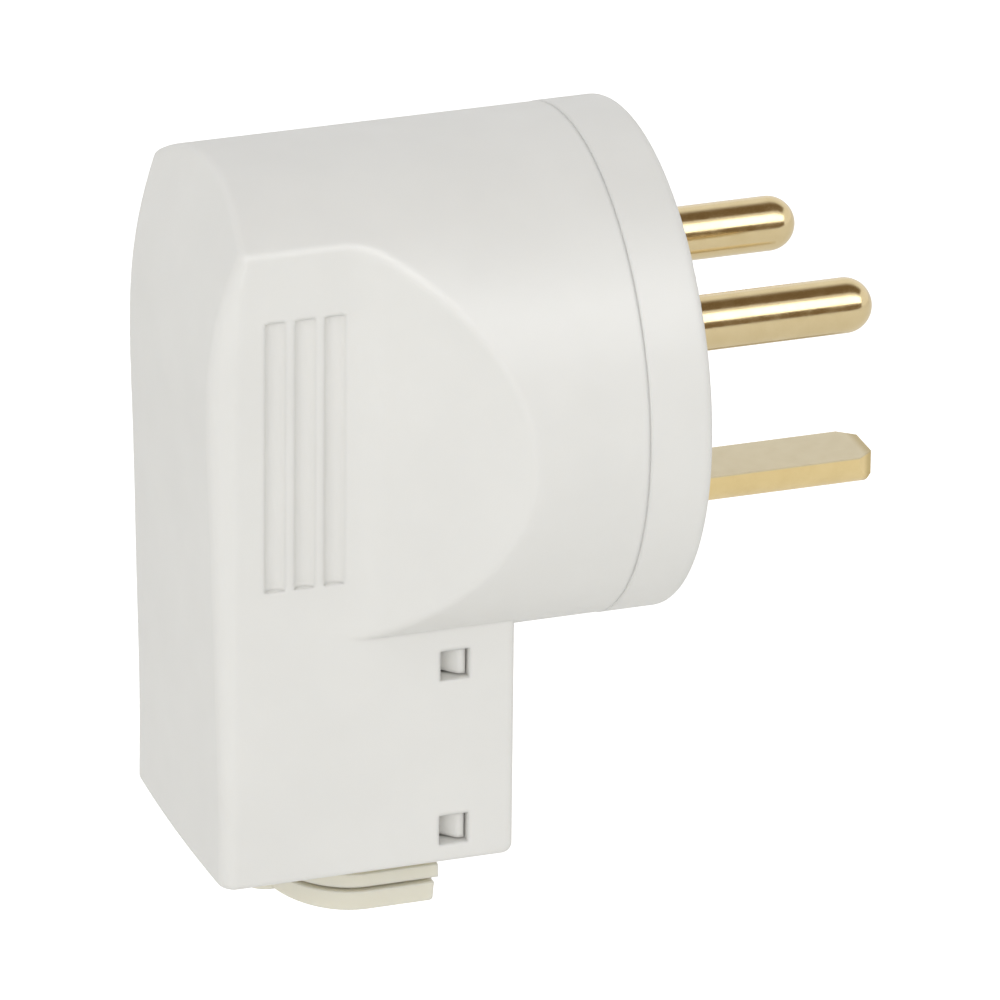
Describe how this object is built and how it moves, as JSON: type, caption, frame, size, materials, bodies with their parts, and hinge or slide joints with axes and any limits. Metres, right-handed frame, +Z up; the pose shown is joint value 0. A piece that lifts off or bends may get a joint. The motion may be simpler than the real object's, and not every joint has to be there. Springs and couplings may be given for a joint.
{
  "type": "grounded plug",
  "caption": "Right-angle rewirable mains plug with a round head, two round pins, a D-section earth pin and a cable gland at the foot of its leg.",
  "frame": {"origin": "centre of the round front face that meets the socket", "axes": "+X out along the pins, +Z up from the leg to the head, so the cord leaves towards -Z; the part is symmetric about the XZ plane"},
  "size_m": [0.0634, 0.0441, 0.0676],
  "materials": {
    "housing_plastic": "warm off-white moulded thermoplastic, satin gloss",
    "gland_elastomer": "cream soft moulded elastomer, matt",
    "pin_brass": "polished turned brass",
    "terminal_brass": "machined brass, satin",
    "screw_steel": "zinc-plated steel",
    "retainer_plastic": "off-white moulded thermoset, matt"
  },
  "bodies": {
    "root": {"housing": "housing_plastic", "front_cover": "housing_plastic", "line_pin": "pin_brass", "neutral_pin": "pin_brass", "earth_pin": "pin_brass", "line_terminal": "terminal_brass", "neutral_terminal": "terminal_brass", "earth_terminal": "terminal_brass", "line_terminal_screw": "screw_steel", "neutral_terminal_screw": "screw_steel", "earth_terminal_screw": "screw_steel", "pin_retainer": "retainer_plastic", "retainer_screw_left": "screw_steel", "retainer_screw_right": "screw_steel", "cover_screw": "screw_steel", "cover_screw_insert": "terminal_brass", "cord_clamp_saddle": "retainer_plastic", "cord_clamp_screw_left": "screw_steel", "cord_clamp_screw_right": "screw_steel", "cable_gland": "gland_elastomer"}
  },
  "joints": []
}
